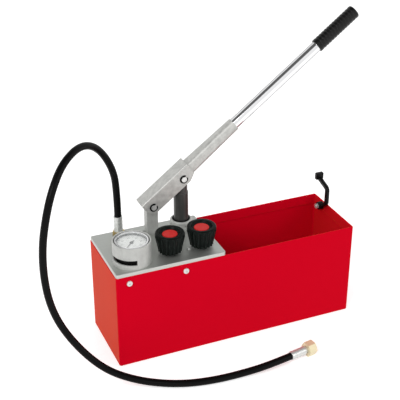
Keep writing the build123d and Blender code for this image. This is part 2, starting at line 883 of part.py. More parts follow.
def gauge_bezel():
    """Polished ring that holds the lens on the case."""
    lens_top = case_height + thread_gap + lens_thickness
    skirt_inner = case_radius + thread_gap
    body = turned(((skirt_inner, lens_top - bezel_skirt), (bezel_radius, lens_top - bezel_skirt),
                   (bezel_radius, lens_top + bezel_lip), (bezel_window_radius, lens_top + bezel_lip),
                   (bezel_window_radius, lens_top + thread_gap), (skirt_inner, lens_top + thread_gap)))
    top_edges = body.edges().filter_by(GeomType.CIRCLE).sort_by(Axis.Z)[-2:]
    return Pos(gauge_x, gauge_y, case_bottom) * fillet(top_edges, bezel_edge_radius)


def gauge_lens():
    """Flat window on the rim of the case."""
    low = case_top + thread_gap
    return post(gauge_x, gauge_y, low, low + lens_thickness, case_radius - thread_gap)


def gauge_dial():
    """Dial disc on the movement's pillars, with a hole for the pointer's arbor."""
    return ring(gauge_x, gauge_y, dial_top - dial_thickness, dial_top, dial_radius,
                arbor_radius + slip_gap)


def movement_frame():
    """Two plates on three pillars that carry the arbors and the dial."""
    x, y = gauge_x, gauge_y
    upper = movement_z + movement_plate_thickness + movement_gap
    frame = post(x, y, movement_z, movement_z + movement_plate_thickness, movement_plate_radius)
    frame = frame + post(x, y, upper, upper + movement_plate_thickness, movement_plate_radius)
    for angle in pillar_angles:
        px = x + pillar_circle_radius * math.cos(math.radians(angle))
        py = y + pillar_circle_radius * math.sin(math.radians(angle))
        frame = frame + post(px, py, movement_z, dial_top - dial_thickness, pillar_radius)
    frame = frame - post(x, y, movement_z - overrun, dial_top, arbor_radius + run_gap)
    return frame - post(x, y + pinion_radius + sector_radius, movement_z - overrun, dial_top,
                        arbor_radius + run_gap)


def bourdon_tube():
    """Flattened spring tube bent round inside the case, from the stem to its closed tip."""
    outer = tube_ring_radius + tube_ring_thickness / 2
    inner = tube_ring_radius - tube_ring_thickness / 2
    angle = tube_ring_end - tube_ring_start
    body = extrude(make_sector(outer, angle), tube_ring_height)
    body = body - post(0, 0, -overrun, tube_ring_height + overrun, inner)
    low = case_bottom + case_wall + tube_ring_thickness
    tube = Pos(gauge_x, gauge_y, low) * swivel(body, tube_ring_start)
    half = stem_block_side / 2
    foot_x = gauge_x + tube_ring_thickness * 2
    root = block((foot_x - tube_ring_thickness, foot_x + tube_ring_thickness),
                 (gauge_y - inner - thread_gap, gauge_y - half - thread_gap),
                 (low, case_bottom + stem_block_height))
    start = math.radians(tube_ring_start)
    seat = block((gauge_x + inner * math.cos(start) + thread_gap, foot_x + tube_ring_thickness),
                 (gauge_y - tube_ring_radius, gauge_y - inner + tube_ring_thickness),
                 (low, case_bottom + stem_block_height))
    return tube + root + seat


def sector_gear():
    """Toothless outline of the sector that drives the pinion, on its own arbor."""
    angle = sector_high_angle - sector_low_angle
    body = extrude(make_sector(sector_radius - run_gap, angle), sector_thickness)
    body = swivel(body, -90 - sector_high_angle)
    body = body + Pos(0, 0, sector_thickness / 2) * Cylinder(sector_hub_radius, sector_thickness)
    body = Pos(0, 0, movement_plate_thickness + sector_rise) * body
    body = body + post(0, 0, 0, 2 * movement_plate_thickness + movement_gap, arbor_radius)
    return Pos(gauge_x, gauge_y + pinion_radius + sector_radius, movement_z) * body


def pointer_arbor():
    """Arbor with the pinion, which turns the pointer."""
    x, y = gauge_x, gauge_y
    middle = movement_z + movement_plate_thickness + sector_rise + sector_thickness / 2
    arbor = post(x, y, movement_z, dial_top + slip_gap, arbor_radius)
    return arbor + post(x, y, middle - sector_thickness, middle + sector_thickness,
                        pinion_radius - run_gap)


def gauge_pointer():
    """Pointer that stands at zero at rest."""
    low = slip_gap
    half = pointer_width / 2
    hub = post(0, 0, low, low + 2 * pointer_thickness, pointer_hub_radius)
    needle = Polyline((-pointer_tail, -half), (0, -half), (pointer_length, 0), (0, half),
                      (-pointer_tail, half), close=True)
    body = hub + Pos(0, 0, low) * extrude(make_face(needle), pointer_thickness)
    return Pos(gauge_x, gauge_y, dial_top) * swivel(body, pointer_zero_angle)


def valve_glands():
    """Hexagon gland nuts of the two valves."""
    glands = []
    for place in valve_places:
        x = tank_left + place
        gland = hexagon(x, valve_y, plate_top, plate_top + valve_gland_head, valve_gland_flats)
        gland = gland + post(x, valve_y, block_top - valve_gland_depth, plate_top + overrun,
                             valve_gland_radius)
        gland = gland - post(x, valve_y, block_top - valve_gland_depth - overrun,
                             plate_top + valve_gland_head + overrun, spindle_radius + run_gap)
        groove_z = plate_top - o_ring_drop
        gland = gland - post(x, valve_y, groove_z - o_ring_radius - thread_gap,
                             groove_z + o_ring_radius + thread_gap,
                             spindle_radius + 2 * o_ring_radius + 2 * run_gap)
        glands.append(gland)
    return Compound(children=glands)


def valve_o_rings():
    """O-rings in the grooves of the valve glands."""
    rings = []
    for place in valve_places:
        middle = spindle_radius + o_ring_radius + run_gap
        rings.append(Pos(tank_left + place, valve_y, plate_top - o_ring_drop)
                     * Torus(middle, o_ring_radius))
    return Compound(children=rings)


def valve_ball_z():
    """Height of a closed valve's ball."""
    return valve_seat_z + seated_height(valve_ball_radius, valve_port_radius) + thread_gap


def valve_spindle(x):
    """Spindle from the ball up into the handwheel."""
    low = valve_ball_z() + valve_ball_radius + thread_gap
    nose_top = low + spindle_nose_length
    top = cap_seat_z() - 2 * slip_gap
    nose = post(x, valve_y, low, nose_top + overrun, spindle_nose_radius)
    return nose + post(x, valve_y, nose_top, top, spindle_radius)


def wheel_base_z():
    """Height of a handwheel's underside."""
    return plate_top + valve_gland_head + wheel_base_gap


def cap_seat_z():
    """Height of the recess floor that a cap stands on."""
    return wheel_base_z() + wheel_height - wheel_dish_depth - cap_recess


def handwheel(x):
    """Fluted handwheel, wider at the top, with a dish and a recess for its cap."""
    rim_z = wheel_height - wheel_rim_drop
    outline = [Line((0, 0, 0), (wheel_base_radius, 0, 0)),
               Line((wheel_base_radius, 0, 0), (wheel_base_radius, 0, wheel_skirt)),
               Line((wheel_base_radius, 0, wheel_skirt), (wheel_rim_radius, 0, rim_z)),
               Spline((wheel_rim_radius, 0, rim_z), (wheel_top_radius, 0, wheel_height),
                      tangents=((0, 0, 1), (-1, 0, 0))),
               Line((wheel_top_radius, 0, wheel_height), (0, 0, wheel_height)),
               Line((0, 0, wheel_height), (0, 0, 0))]
    body = revolve(make_face(outline), Axis.Z)
    lean = math.degrees(math.atan2(wheel_rim_radius - wheel_base_radius, rim_z - wheel_skirt))
    middle_radius = (wheel_rim_radius + wheel_base_radius) / 2
    place = Pos(middle_radius + flute_radius - flute_depth, 0, (rim_z + wheel_skirt) / 2)
    cutter = place * Rot(0, lean, 0) * Cylinder(flute_radius, 2 * wheel_height)
    flutes = [swivel(cutter, step * 360 / flute_count) for step in range(flute_count)]
    body = body - flutes
    floor = wheel_height - wheel_dish_depth
    lip = cap_ring_radius + wheel_dish_flare
    body = body - turned(((0, floor), (cap_ring_radius, floor), (lip, wheel_height),
                          (lip, wheel_height + overrun), (0, wheel_height + overrun)))
    body = body - post(0, 0, floor - cap_recess, floor + overrun, cap_radius + thread_gap)
    body = body - ring(0, 0, floor - cap_ring_depth, floor + overrun, cap_ring_radius, cap_radius)
    body = body - post(0, 0, -overrun, wheel_height, spindle_radius + thread_gap)
    return Pos(x, valve_y, wheel_base_z()) * body


def valve_cap(x):
    """Red cap pressed into the handwheel's top."""
    low = cap_seat_z()
    body = post(x, valve_y, low, low + cap_recess + cap_rise, cap_radius)
    return fillet(body.edges().filter_by(GeomType.CIRCLE).sort_by(Axis.Z)[-1], cap_rise)


def in_lever(shape):
    """Place a shape drawn along X from the link's pin at the lever's rest angle."""
    return Pos(link_x, lever_y, link_pin_height) * Rot(0, -lever_angle, 0) * shape


def bracket_outline():
    """Side view of the bracket, cut back at its nose."""
    end = pin_spacing + bracket_beyond
    nose = pin_spacing + bracket_below / 2
    return make_face(Polyline((-bracket_behind, 0, -bracket_below), (-bracket_behind, 0, bracket_above),
                              (end, 0, bracket_above), (end, 0, -bracket_nose_drop),
                              (nose, 0, -bracket_below), close=True))


def lever_bracket():
    """Steel channel over the link and the plunger's head, open below, with an end wall."""
    half = bracket_depth / 2
    body = extrude(bracket_outline(), half, dir=(0, 1, 0), both=True)
    back_edges = body.edges().filter_by(Axis.Y).sort_by(Axis.X)[:2]
    body = fillet(back_edges.sort_by(Axis.Z)[0], bracket_round_radius)
    body = fillet(body.edges().filter_by(Axis.X).sort_by(Axis.Z)[-2:], 2 * bracket_edge_radius)
    end = pin_spacing + bracket_beyond
    inside = block((-bracket_behind - overrun, end - bracket_end_wall),
                   (-bracket_gap / 2, bracket_gap / 2),
                   (-bracket_below - overrun, bracket_above - bracket_web))
    body = body - inside
    for along in (0, pin_spacing):
        body = body - bar_y(along, -half - overrun, half + overrun, 0, pin_radius + thread_gap)
    return in_lever(body)


def lever_pins():
    """The two pins through the bracket, each with a groove near both ends."""
    pins = []
    half = bracket_depth / 2
    for along in (0, pin_spacing):
        reach = half + ring_thickness + 2 * thread_gap + pin_end
        pin = bar_y(along, -reach, reach, 0, pin_radius)
        for side in (-1, 1):
            low, high = sorted((side * (half + thread_gap / 2),
                                side * (half + ring_thickness + 2 * thread_gap)))
            groove = bar_y(along, low, high, 0, pin_radius + overrun)
            groove = groove - bar_y(along, low - overrun, high + overrun, 0,
                                    pin_radius - ring_groove_depth)
            pin = pin - groove
        pins.append(in_lever(pin))
    return Compound(children=pins)


def retaining_rings():
    """Open spring rings in the grooves of the lever's pins."""
    rings = []
    half = bracket_depth / 2
    for along in (0, pin_spacing):
        for side in (-1, 1):
            low, high = sorted((side * (half + thread_gap),
                                side * (half + thread_gap + ring_thickness)))
            band = bar_y(along, low, high, 0, ring_radius)
            band = band - bar_y(along, low - overrun, high + overrun, 0,
                                pin_radius - ring_groove_depth + thread_gap)
            mouth = block((0, 2 * ring_radius), (low - overrun, high + overrun),
                          (-ring_mouth / 2, ring_mouth / 2))
            mouth = Pos(along, 0, 0) * mouth
            rings.append(in_lever(band - mouth))
    return Compound(children=rings)


def lever_socket():
    """Tapered steel socket from the bracket's end wall to the round tube."""
    start = pin_spacing + bracket_beyond
    low_plane = Plane(origin=(start, 0, tube_rise), x_dir=(0, 1, 0), z_dir=(1, 0, 0))
    high_plane = Plane(origin=(socket_reach, 0, tube_rise), x_dir=(0, 1, 0), z_dir=(1, 0, 0))
    first = low_plane * RectangleRounded(socket_depth, socket_height, socket_corner_radius)
    last = high_plane * RectangleRounded(2 * socket_end_radius, 2 * socket_end_radius,
                                         socket_end_radius - 2 * thread_gap)
    body = loft([first, last])
    body = body - bar_x(socket_reach - socket_bore_depth, socket_reach + overrun, 0, tube_rise,
                        tube_radius + thread_gap)
    return in_lever(body)


def lever_tube():
    """Chromed steel tube from deep in the socket to the end of the grip."""
    low = socket_reach - socket_bore_depth
    high = grip_end - grip_cover
    body = bar_x(low, high, 0, tube_rise, tube_radius)
    body = body - bar_x(low - overrun, high + overrun, 0, tube_rise, tube_radius - tube_wall)
    return in_lever(body)


def lever_grip():
    """Ribbed rubber grip, closed at its end."""
    length = grip_end - grip_start
    body = Cylinder(grip_radius, length)
    body = fillet(body.edges().filter_by(GeomType.CIRCLE).sort_by(Axis.Z)[-1], grip_edge_radius)
    body = fillet(body.edges().filter_by(GeomType.CIRCLE).sort_by(Axis.Z)[0], grip_mouth_radius)
    low = -length / 2
    rib_pitch = (length - 2 * grip_collar_width) / grip_rib_count
    groove = rib_pitch * grip_groove_share
    for step in range(grip_rib_count):
        middle = low + grip_collar_width + (step + 1 / 2) * rib_pitch
        body = body - Pos(0, 0, middle) * Torus(grip_radius + groove - grip_groove_depth, groove)
    body = body - post(0, 0, low - overrun, length / 2 - grip_cover, tube_radius + thread_gap)
    body = Pos((grip_start + grip_end) / 2, 0, tube_rise) * Rot(0, 90, 0) * body
    return in_lever(body)


def fulcrum_link():
    """Upright link from its foot pin in the block to the lever's rear pin."""
    half = link_width / 2
    bar = block((link_x - half, link_x + half),
                (lever_y - link_depth / 2, lever_y + link_depth / 2),
                (foot_height, link_pin_height))
    bar = fillet(bar.edges().filter_by(Axis.Z), link_corner_radius)
    foot = bar_y(link_x, lever_y - link_depth / 2, lever_y + link_depth / 2, foot_height,
                 link_boss_radius)
    boss_half = bracket_gap / 2 - slip_gap
    head = bar_y(link_x, lever_y - boss_half, lever_y + boss_half, link_pin_height,
                 link_boss_radius)
    body = bar + foot + head
    body = body - bar_y(link_x, lever_y - link_depth, lever_y + link_depth, foot_height,
                        foot_pin_radius + run_gap)
    return body - bar_y(link_x, lever_y - link_depth, lever_y + link_depth, link_pin_height,
                        pin_radius + run_gap)


def link_foot_pin():
    """Pin of the link's foot, held in the block."""
    return bar_y(link_x, lever_y - foot_pin_length / 2 + slip_gap, block_back, foot_height,
                 foot_pin_radius)


def hook():
    """Black hook that swings over the folded lever, with an upturned thumb tab."""
    route = [(0, 0, 0), (0, -hook_bulge, hook_knee_height), (0, -hook_bulge, hook_shoulder_height),
             (0, hook_arm_reach, hook_arm_height)]
    line = FilletPolyline(*route, radius=[hook_knee_radius, hook_shoulder_radius])
    plane = Plane(origin=line @ 0, x_dir=(1, 0, 0), z_dir=line % 0)
    section = plane * RectangleRounded(hook_bar_thickness, hook_bar_width, hook_bar_edge_radius)
    body = sweep(section, path=line)
    hub = bar_x(-hook_hub_length / 2, hook_hub_length / 2, 0, 0, hook_hub_radius)
    tab_front = hook_arm_reach - hook_tab_thickness
    tab = block((-hook_tab_width / 2, hook_tab_width / 2), (tab_front, hook_arm_reach),
                (hook_arm_height - hook_bar_width / 2, hook_arm_height + hook_tab_height))
    tab = fillet(tab.edges().filter_by(Axis.Y), hook_tab_radius)
    body = body + hub + tab
    body = body - bar_x(-hook_hub_length, hook_hub_length, 0, 0, hook_bolt_radius + run_gap)
    return Pos(hook_x, hook_y, hook_z) * body


def hook_bolt():
    """Bolt through the end wall, on which the hook swings."""
    tail = hook_x - hook_hub_length / 2 - slip_gap - hook_nut_length - hook_bolt_tail
    head = bar_x(tank_right, tank_right + hook_bolt_head_height, hook_y, hook_z,
                 hook_bolt_head_radius)
    crown = head.edges().filter_by(GeomType.CIRCLE).sort_by(Axis.X)[-1]
    head = fillet(crown, hook_bolt_crown_radius)
    return head + bar_x(tail, tank_right + overrun / 2, hook_y, hook_z, hook_bolt_radius)


def hook_nut():
    """Lock nut inside the tank."""
    high = hook_x - hook_hub_length / 2 - slip_gap
    body = hexagon(0, 0, 0, hook_nut_length, hook_nut_flats)
    body = body - post(0, 0, -overrun, hook_nut_length + overrun, hook_bolt_radius + thread_gap)
    return Pos(high - hook_nut_length, hook_y, hook_z) * Rot(0, 90, 0) * body


def hose_nipple():
    """Brass nipple screwed into the block, with a stem inside the hose's ferrule."""
    x, y = nipple_x, nipple_y
    hex_top = plate_top + nipple_hex_height
    body = hexagon(x, y, plate_top, hex_top, nipple_hex_flats)
    body = body + post(x, y, block_top - nipple_thread_length + slip_gap, plate_top + overrun,
                       nipple_thread_radius)
    body = body + post(x, y, hex_top - overrun, hex_top + nipple_stem_length,
                       nipple_stem_radius)
    return body - post(x, y, block_top - nipple_thread_length - overrun,
                       hex_top + nipple_stem_length + overrun, nipple_port_radius)


def ferrule(bore_depth):
    """Crimped ferrule drawn up the Z axis from the nipple's side to the hose's side."""
    body = Pos(0, 0, ferrule_length / 2) * Cylinder(ferrule_radius, ferrule_length)
    body = fillet(body.edges().filter_by(GeomType.CIRCLE), ferrule_band_depth)
    pitch = (ferrule_length - 2 * ferrule_mouth) / ferrule_band_count
    half_band = pitch * ferrule_band_share / 2
    for step in range(ferrule_band_count):
        middle = ferrule_mouth + (step + 1 / 2) * pitch
        body = body - ring(0, 0, middle - half_band, middle + half_band,
                           ferrule_radius + overrun, ferrule_radius - ferrule_band_depth)
    return body - post(0, 0, -overrun, bore_depth, nipple_stem_radius + thread_gap)


def near_ferrule():
    """Ferrule that crimps the hose on the brass nipple."""
    low = plate_top + nipple_hex_height
    return Pos(nipple_x, nipple_y, low) * ferrule(nipple_stem_length + slip_gap)


def far_frame():
    """Frame at the hose's far end: Z runs on along the hose."""
    end = Vector(*hose_route[-1])
    heading = (end - Vector(*hose_route[-2])).normalized()
    return Plane(origin=end, x_dir=(0, 0, 1), z_dir=heading)


def placed_far(shape):
    """A shape drawn along Z, set on the hose's far end."""
    return far_frame().location * shape


def far_ferrule():
    """Ferrule at the hose's far end."""
    shape = Pos(0, 0, ferrule_length) * Rot(180, 0, 0) * ferrule(nipple_stem_length + slip_gap)
    return placed_far(shape)


def swivel_tail():
    """Steel tail with the flange that the union nut draws up."""
    flange_low = nut_start + nut_length - nut_thread_length - nut_relief_length + slip_gap
    body = post(0, 0, ferrule_length, flange_low + overrun / 2, tail_radius)
    body = body + post(0, 0, flange_low, flange_low + tail_flange_length, tail_flange_radius)
    body = body + post(0, 0, ferrule_length - nipple_stem_length, ferrule_length + overrun,
                       nipple_stem_radius)
    body = body - post(0, 0, ferrule_length - nipple_stem_length - overrun,
                       nut_start + nut_length, tail_port_radius)
    return placed_far(body)


def nut_gasket():
    """Fibre gasket on the tail's flange."""
    low = nut_start + nut_length - nut_thread_length - nut_relief_length + slip_gap
    low = low + tail_flange_length
    return placed_far(ring(0, 0, low, low + gasket_thickness, tail_flange_radius,
                           tail_port_radius))


def union_nut():
    """Brass union nut with an internal thread, free to turn on the tail."""
    high = nut_start + nut_length
    body = swivel(hexagon(0, 0, nut_start, high, nut_flats), 180 / hex_sides)
    corner = nut_flats / math.sqrt(3)
    cone = turned(((0, nut_start), (corner - nut_edge, nut_start),
                   (corner, nut_start + nut_edge / 2), (corner, high - nut_edge / 2),
                   (corner - nut_edge, high), (0, high)))
    body = body & cone
    body = body - post(0, 0, nut_start - overrun, high, nut_back_radius)
    relief_low = high - nut_thread_length - nut_relief_length
    body = body - post(0, 0, relief_low, high - nut_thread_length, nut_relief_radius)
    body = body - post(0, 0, high - nut_thread_length - overrun / 2, high + overrun,
                       nut_thread_radius)
    return placed_far(body)


def hose_corner_radii():
    """Radius of the arc at each corner of the hose's route."""
    points = [Vector(*point) for point in hose_route]
    radii = []
    for before, corner, after in zip(points, points[1:], points[2:]):
        come, go = corner - before, after - corner
        turn = math.radians(come.get_angle(go))
        radii.append(hose_bend_share * min(come.length, go.length) / math.tan(turn / 2))
    return radii


def hose():
    """Rubber hose along its route, from the near ferrule to the far one."""
    radii = hose_corner_radii()
    line = FilletPolyline(*hose_route, radius=radii)
    section = Plane(origin=line @ 0, z_dir=line % 0) * Circle(hose_radius)
    body = sweep(section, path=line)
    expected = math.pi * hose_radius ** 2 * line.length
    print("hose length", round(line.length, 1), "radii", [round(radius) for radius in radii])
    print("hose volume over section times length", round(body.volume / expected, 5))
    return body


def all_parts():
    """Every node of the model by name."""
    first_valve, second_valve = [tank_left + place for place in valve_places]
    delivery_x, delivery_y = delivery_place()
    return {
        "tank": tank(),
        "cover_plate": cover_plate(),
        "side_screws": side_screws(),
        "valve_block": valve_block(),
        "block_screws": block_screws(),
        "gallery_plugs": gallery_plugs(),
        "pump_barrel": pump_barrel(),
        "guide_bush": guide_bush(),
        "rod_seal": rod_seal(),
        "gland_nut": gland_nut(),
        "wiper_ring": wiper_ring(),
        "plunger": plunger(),
        "suction_valve": suction_valve(),
        "suction_ball": ball(plunger_x, lever_y, suction_ball_z(), suction_ball_radius),
        "suction_spring": coil_spring(plunger_x, lever_y, suction_spring_z(),
                                      suction_spring_length, suction_spring_radius),
        "suction_stop": suction_stop(),
        "suction_strainer": suction_strainer(),
        "delivery_plug": delivery_plug(),
        "delivery_ball": ball(delivery_x, delivery_y, delivery_ball_z(), delivery_ball_radius),
        "delivery_spring": coil_spring(delivery_x, delivery_y,
                                       delivery_spring_seat() + slip_gap,
                                       delivery_spring_length, delivery_spring_radius),
        "return_pipe": return_pipe(),
        "gauge_guard": gauge_guard(),
        "gauge_stem": gauge_stem(),
        "gauge_case": gauge_case(),
        "gauge_bezel": gauge_bezel(),
        "gauge_lens": gauge_lens(),
        "gauge_dial": gauge_dial(),
        "movement_frame": movement_frame(),
        "bourdon_tube": bourdon_tube(),
        "sector_gear": sector_gear(),
        "pointer_arbor": pointer_arbor(),
        "gauge_pointer": gauge_pointer(),
        "valve_glands": valve_glands(),
        "valve_o_rings": valve_o_rings(),
        "release_ball": ball(first_valve, valve_y, valve_ball_z(), valve_ball_radius),
        "release_spindle": valve_spindle(first_valve),
        "release_handwheel": handwheel(first_valve),
        "release_cap": valve_cap(first_valve),
        "shutoff_ball": ball(second_valve, valve_y, valve_ball_z(), valve_ball_radius),
        "shutoff_spindle": valve_spindle(second_valve),
        "shutoff_handwheel": handwheel(second_valve),
        "shutoff_cap": valve_cap(second_valve),
        "fulcrum_link": fulcrum_link(),
        "link_foot_pin": link_foot_pin(),
        "lever_bracket": lever_bracket(),
        "lever_pins": lever_pins(),
        "retaining_rings": retaining_rings(),
        "lever_socket": lever_socket(),
        "lever_tube": lever_tube(),
        "lever_grip": lever_grip(),
        "hook": hook(),
        "hook_bolt": hook_bolt(),
        "hook_nut": hook_nut(),
        "hose_nipple": hose_nipple(),
        "near_ferrule": near_ferrule(),
        "hose": hose(),
        "far_ferrule": far_ferrule(),
        "swivel_tail": swivel_tail(),
        "nut_gasket": nut_gasket(),
        "union_nut": union_nut(),
    }


def main():
    """Build every part and write one file for each."""
    os.makedirs("parts", exist_ok=True)
    for name, shape in all_parts().items():
        export_step(shape, os.path.join("parts", name + ".step"))


main()
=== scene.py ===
"""Hydrostatic test pump: finishes, hose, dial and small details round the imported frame."""

import math

import bmesh
import bpy
from bpy.props import FloatProperty, FloatVectorProperty, IntProperty, PointerProperty
from bpy.types import Operator, Panel, PropertyGroup
from mathutils import Matrix, Vector


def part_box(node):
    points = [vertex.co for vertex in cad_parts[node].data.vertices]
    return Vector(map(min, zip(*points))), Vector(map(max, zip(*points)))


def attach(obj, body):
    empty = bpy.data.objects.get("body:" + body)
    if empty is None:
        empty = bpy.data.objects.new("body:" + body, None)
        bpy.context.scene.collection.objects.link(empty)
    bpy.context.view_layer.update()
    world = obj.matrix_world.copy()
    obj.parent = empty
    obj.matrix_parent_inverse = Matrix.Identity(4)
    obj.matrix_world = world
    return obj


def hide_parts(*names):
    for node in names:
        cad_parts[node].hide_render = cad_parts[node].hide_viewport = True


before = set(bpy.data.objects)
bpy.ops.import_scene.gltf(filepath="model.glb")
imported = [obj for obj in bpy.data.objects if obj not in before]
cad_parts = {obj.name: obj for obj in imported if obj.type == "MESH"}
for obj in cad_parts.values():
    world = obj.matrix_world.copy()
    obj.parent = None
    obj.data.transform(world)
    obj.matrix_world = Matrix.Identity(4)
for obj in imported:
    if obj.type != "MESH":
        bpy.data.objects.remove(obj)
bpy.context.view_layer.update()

bl_info = {
    "name": "Hydrostatic test pump",
    "version": (1, 0, 0),
    "blender": (4, 5, 0),
    "location": "View3D > Sidebar > Test pump",
    "description": "Finishes and details of a hand-operated test pump",
    "category": "Object",
}

WHITE = (1.0, 1.0, 1.0, 1.0)

# Where the gauge's dial stands, from the frame
dial_low, dial_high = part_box("gauge_dial")
DIAL_CENTRE = Vector(((dial_low.x + dial_high.x) / 2, (dial_low.y + dial_high.y) / 2, dial_high.z))
DIAL_RADIUS = (dial_high.x - dial_low.x) / 2

# The hose's route from the near ferrule's top to its far end, in metres
HOSE_ROUTE = (
    (-0.206, 0.058, 0.260),
    (-0.206, 0.058, 0.310),
    (-0.212, 0.053, 0.366),
    (-0.242, 0.045, 0.423),
    (-0.285, 0.013, 0.451),
    (-0.332, -0.027, 0.440),
    (-0.363, -0.057, 0.405),
    (-0.381, -0.069, 0.359),
    (-0.393, -0.072, 0.301),
    (-0.395, -0.073, 0.235),
    (-0.387, -0.073, 0.172),
    (-0.368, -0.078, 0.117),
    (-0.335, -0.097, 0.065),
    (-0.297, -0.121, 0.029),
    (-0.251, -0.147, 0.012),
    (-0.204, -0.173, 0.0074),
    (-0.157, -0.193, 0.0074),
    (-0.103, -0.203, 0.0074),
    (-0.046, -0.205, 0.0074),
    (0.009, -0.209, 0.0136),
    (0.060, -0.200, 0.0136),
)


def colour_property(name, description, default):
    """A colour that a user can change."""
    return FloatVectorProperty(name=name, description=description, default=default,
                               subtype="COLOR", size=3, min=0.0, max=1.0)


class PumpColours(PropertyGroup):
    """Colours of the pump's finishes."""

    tank: colour_property("Tank", "Gloss paint of the tank", (0.68, 0.0, 0.016))
    plate: colour_property("Plate", "Machined cover plate", (0.58, 0.60, 0.57))
    casting: colour_property("Casting", "Plated castings", (0.66, 0.67, 0.64))
    lever: colour_property("Lever casting", "Bracket and socket", (0.70, 0.70, 0.67))
    plunger: colour_property("Plunger", "Dark hard chrome", (0.085, 0.085, 0.082))
    zinc: colour_property("Zinc", "Plated screws and ferrules", (0.72, 0.73, 0.71))
    steel: colour_property("Steel", "Ground steel", (0.78, 0.78, 0.76))
    spring: colour_property("Spring steel", "Oiled springs and rings", (0.06, 0.06, 0.055))
    chrome: colour_property("Chrome", "Bright tube of the lever", (0.86, 0.86, 0.87))
    brass: colour_property("Brass", "Turned fittings", (0.72, 0.55, 0.25))
    union: colour_property("Union nut", "Pale brass", (0.86, 0.76, 0.50))
    copper: colour_property("Copper", "Return pipe", (0.72, 0.38, 0.26))
    rubber: colour_property("Rubber", "Hose, grip and seals", (0.004, 0.004, 0.004))
    knob: colour_property("Knob", "Moulded handwheels", (0.004, 0.006, 0.005))
    cap: colour_property("Cap", "Caps of the handwheels", (0.60, 0.022, 0.02))
    black: colour_property("Black", "Blackened steel and enamel", (0.003, 0.003, 0.003))
    dial: colour_property("Dial", "Face of the gauge", (0.95, 0.95, 0.93))
    marks: colour_property("Marks", "Pointer, marks and numbers", (0.035, 0.035, 0.035))


class PumpSizes(PropertyGroup):
    """Sizes of the pieces that this script models."""

    hose_diameter: FloatProperty(name="Hose diameter", description="Outside of the hose",
                                 default=0.0145, unit="LENGTH")
    hose_length: FloatProperty(name="Hose length", description="Hose between its ferrules",
                               default=1.14, unit="LENGTH")
    dial_high: IntProperty(name="Highest reading", description="Last number on the dial",
                           default=60, min=10)
    dial_step: IntProperty(name="Reading step", description="Step between numbers",
                           default=10, min=1)
    dial_zero: FloatProperty(name="Zero direction", description="Where zero stands",
                             default=math.radians(-135.0), subtype="ANGLE")
    dial_sweep: FloatProperty(name="Sweep", description="Angle from zero to the highest reading",
                              default=math.radians(270.0), subtype="ANGLE")
    number_height: FloatProperty(name="Number height", description="Height of the dial's numbers",
                                 default=0.0054, unit="LENGTH")


class PumpStage(PropertyGroup):
    """Camera, lamps and floor."""

    azimuth: FloatProperty(name="Camera azimuth", description="Turn of the camera about Z",
                           default=math.radians(-23.057), subtype="ANGLE")
    elevation: FloatProperty(name="Camera elevation", description="Height above the horizon",
                             default=math.radians(27.951), subtype="ANGLE")
    lens: FloatProperty(name="Lens", description="Focal length in millimetres", default=87.97)
    sky: FloatProperty(name="Sky", description="Strength of the soft light all round",
                       default=0.72, min=0.0)
    floor_lift: FloatProperty(name="Floor lift", description="How far the floor is lifted to white",
                              default=0.5, min=0.0)
    key: FloatProperty(name="Key lamp", description="Power of the lamp at the left",
                       default=52.0, unit="POWER")
    fill: FloatProperty(name="Fill lamp", description="Power of the lamp at the right",
                        default=16.0, unit="POWER")
    floor_radius: FloatProperty(name="Floor radius", description="Half width of the floor",
                                default=14.0, unit="LENGTH")


# Node trees
class Nodes:
    """A node tree with short ways to add nodes and to join them."""

    def __init__(self, tree):
        self.tree = tree

    def add(self, kind, inputs=None, **settings):
        """A new node: each input gets a value or the socket that feeds it."""
        node = self.tree.nodes.new(kind)
        for name, value in settings.items():
            setattr(node, name, value)
        for name, value in (inputs or {}).items():
            self.feed(node.inputs[name], value)
        return node

    def feed(self, socket, value):
        """Set a socket to a value, or link it."""
        if isinstance(value, bpy.types.NodeSocket):
            self.tree.links.new(value, socket)
        else:
            socket.default_value = value

    def math(self, operation, first, second=0.0, clamp=False):
        """The output of one sum."""
        node = self.add("ShaderNodeMath", {0: first, 1: second}, operation=operation,
                        use_clamp=clamp)
        return node.outputs[0]

    def between(self, value, low, high):
        """A value from 0 to 1 spread from low to high."""
        node = self.add("ShaderNodeMapRange", {"Value": value, "To Min": low, "To Max": high})
        return node.outputs[0]

    def blend(self, factor, first, second):
        """A colour between two others."""
        node = self.add("ShaderNodeMix", data_type="RGBA")
        self.feed(node.inputs["Factor"], factor)
        self.feed(node.inputs[6], first)
        self.feed(node.inputs[7], second)
        return node.outputs[2]

    def group(self, tree, inputs=None):
        """A placed group, with its own values."""
        node = self.add("ShaderNodeGroup", node_tree=tree)
        for name, value in (inputs or {}).items():
            self.feed(node.inputs[name], value)
        return node.outputs


def start_group(name, inputs, outputs):
    """A new node group with its sockets: its tree, its inputs and its output node."""
    tree = bpy.data.node_groups.new(name, "ShaderNodeTree")
    for label, kind, value in inputs:
        socket = tree.interface.new_socket(label, in_out="INPUT", socket_type=kind)
        socket.default_value = value
    for label, kind in outputs:
        tree.interface.new_socket(label, in_out="OUTPUT", socket_type=kind)
    nodes = Nodes(tree)
    return nodes, nodes.add("NodeGroupInput").outputs, nodes.add("NodeGroupOutput").inputs


